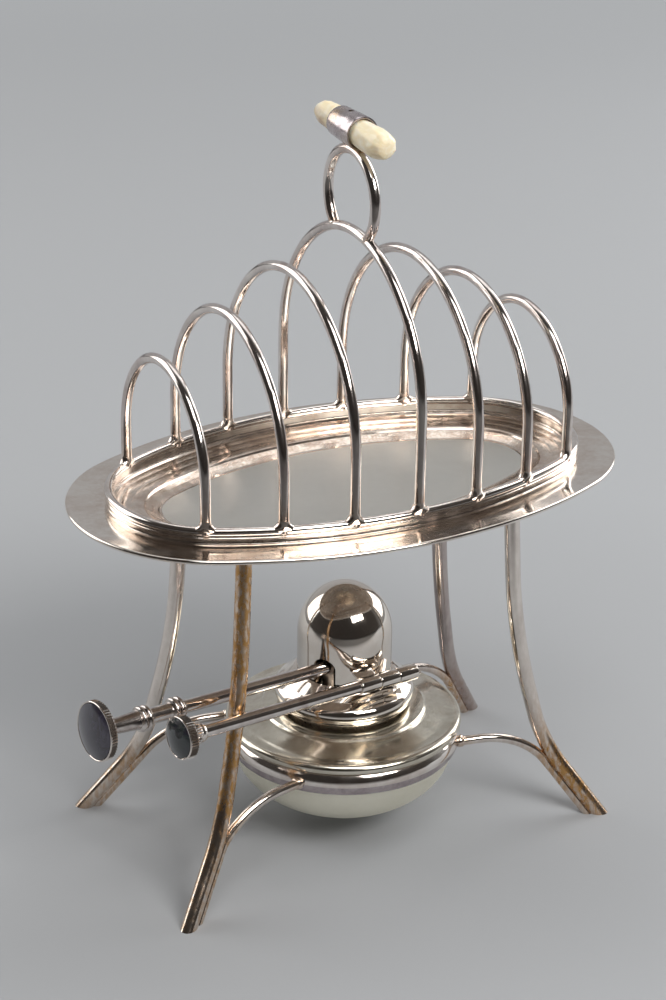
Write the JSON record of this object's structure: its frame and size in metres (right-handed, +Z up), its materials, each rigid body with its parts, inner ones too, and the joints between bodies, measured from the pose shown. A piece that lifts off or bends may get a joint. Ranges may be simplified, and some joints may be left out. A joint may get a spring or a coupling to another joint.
{
  "type": "toast rack",
  "caption": "Oval toast rack of graduated wire hoops with a ring handle, on a four-legged stand that holds a spirit burner with a hinged snuffer and a wick winder.",
  "frame": {"origin": "on the floor, midway between the tip of the winder knob at -X and the far end of the tray at +X, and midway across the stand", "axes": "+X along the row of hoops, away from the control knobs; +Y across the rack, toward the back legs; +Z up"},
  "size_m": [0.2076, 0.1248, 0.2573],
  "materials": {
    "silver_plate": "polished silver plate on brass, worn and warm in tone",
    "tarnished_plate": "silver plate rubbed through and tarnished",
    "bone": "turned and polished bone, stained at one end",
    "black_stone": "polished black cabochon",
    "wick_cotton": "plaited cotton",
    "brass_strip": "bare brass"
  },
  "bodies": {
    "stand": {"tray": "silver_plate", "gallery_lip": "silver_plate", "gallery_rail": "silver_plate", "hoop_1": "silver_plate", "hoop_2": "silver_plate", "hoop_3": "silver_plate", "hoop_4": "silver_plate", "hoop_5": "silver_plate", "hoop_6": "silver_plate", "hoop_7": "silver_plate", "handle_ring": "silver_plate", "handle_sleeve": "tarnished_plate", "handle_pin": "tarnished_plate", "bone_toggle": "bone", "leg_front_left": "tarnished_plate", "leg_front_right": "tarnished_plate", "leg_back_left": "tarnished_plate", "leg_back_right": "tarnished_plate", "arm_front_left": "tarnished_plate", "arm_front_right": "tarnished_plate", "arm_back_left": "tarnished_plate", "arm_back_right": "tarnished_plate", "leg_pads": "tarnished_plate", "burner_ring": "silver_plate"},
    "burner": {"reservoir_bowl": "silver_plate", "reservoir_shoulder": "silver_plate", "reservoir_neck": "silver_plate", "screw_cap": "silver_plate", "wick_tube": "tarnished_plate", "winder_bearings": "tarnished_plate", "hinge_fixed": "silver_plate"},
    "snuffer": {"snuffer_dome": "silver_plate", "snuffer_leaf": "silver_plate", "snuffer_rod": "silver_plate", "snuffer_ferrule": "silver_plate", "snuffer_knob": "silver_plate", "snuffer_stone": "black_stone"},
    "winder": {"winder_rod": "silver_plate", "winder_shank": "tarnished_plate", "winder_knob": "silver_plate", "winder_stone": "black_stone", "winder_wheel": "tarnished_plate"},
    "wick": {"wick": "wick_cotton", "wick_strip": "brass_strip"}
  },
  "joints": [
    {"name": "burner_lift", "type": "slide", "parent": "stand", "child": "burner", "axis": [0, 0, 1], "range_m": [0, 0.024]},
    {"name": "snuffer_hinge", "type": "hinge", "parent": "burner", "child": "snuffer", "pos_m": [0.00817, -0.02226, 0.0622], "axis": [0.9824, 0.1732, -0.0698], "range_deg": [0, 115]},
    {"name": "winder_spin", "type": "hinge", "parent": "burner", "child": "winder", "pos_m": [0.00543, -0.0067, 0.0635], "axis": [0.9824, 0.1732, -0.0698], "range_deg": [0, 116]},
    {"name": "wick_slide", "type": "slide", "parent": "burner", "child": "wick", "axis": [0, 0, 1], "range_m": [0, 0.009]}
  ],
  "couplings": [
    {"joint": "wick_slide", "follows": "winder_spin", "m_per_rad": 0.0044}
  ]
}
